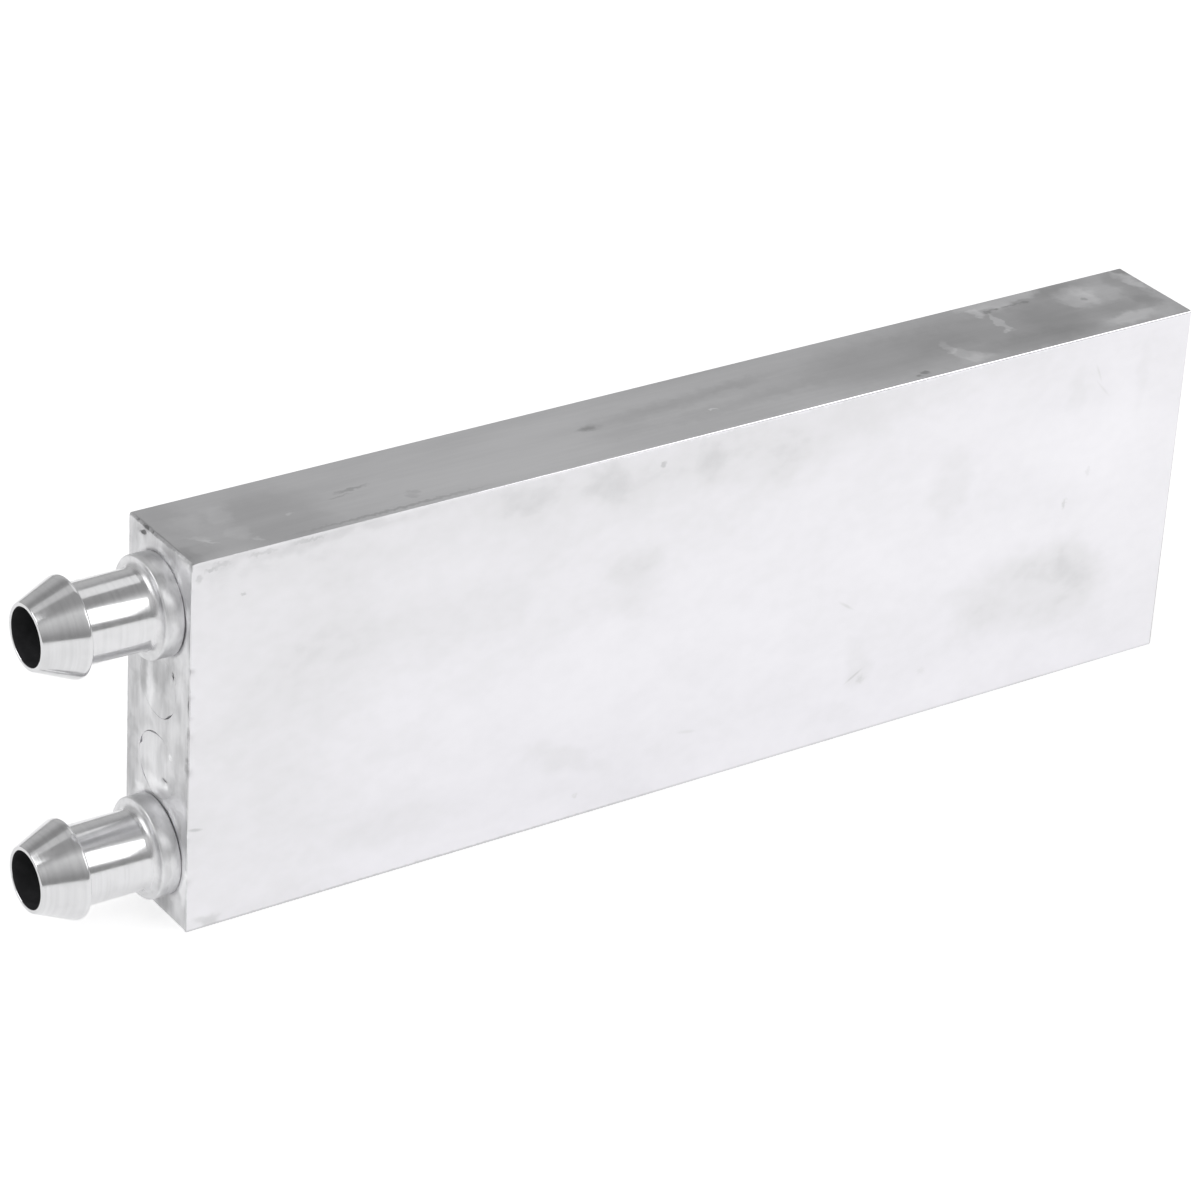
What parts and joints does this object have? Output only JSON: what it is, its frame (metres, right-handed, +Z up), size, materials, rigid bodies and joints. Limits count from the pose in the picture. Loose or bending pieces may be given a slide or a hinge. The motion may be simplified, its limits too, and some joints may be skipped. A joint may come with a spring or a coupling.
{
  "type": "liquid cooling cold plate",
  "caption": "Flat extruded aluminium bar with inner water channels and barbed hose nozzles on one narrow end, which carries heat away from a chip or heat pump pressed to its broad face.",
  "frame": {"origin": "centre of the bar's lower narrow face, which it stands on", "axes": "+X along the bar, away from the nozzles; -Y out of the broad face that the picture shows; +Z up, across the bar's 40 mm width"},
  "size_m": [0.134, 0.012, 0.04],
  "materials": {
    "bar_aluminium": "satin mill finish with light stains on the broad faces and drawn streaks on the narrow ones",
    "turned_aluminium": "bright turned",
    "plug_aluminium": "ground flush with the sawn end"
  },
  "bodies": {
    "root": {"channel_block": "bar_aluminium", "inlet_nozzle": "turned_aluminium", "outlet_nozzle": "turned_aluminium", "nozzle_end_plug_1": "plug_aluminium", "nozzle_end_plug_2": "plug_aluminium", "far_end_plug_1": "plug_aluminium", "far_end_plug_2": "plug_aluminium", "far_end_plug_3": "plug_aluminium", "far_end_plug_4": "plug_aluminium"}
  },
  "joints": []
}
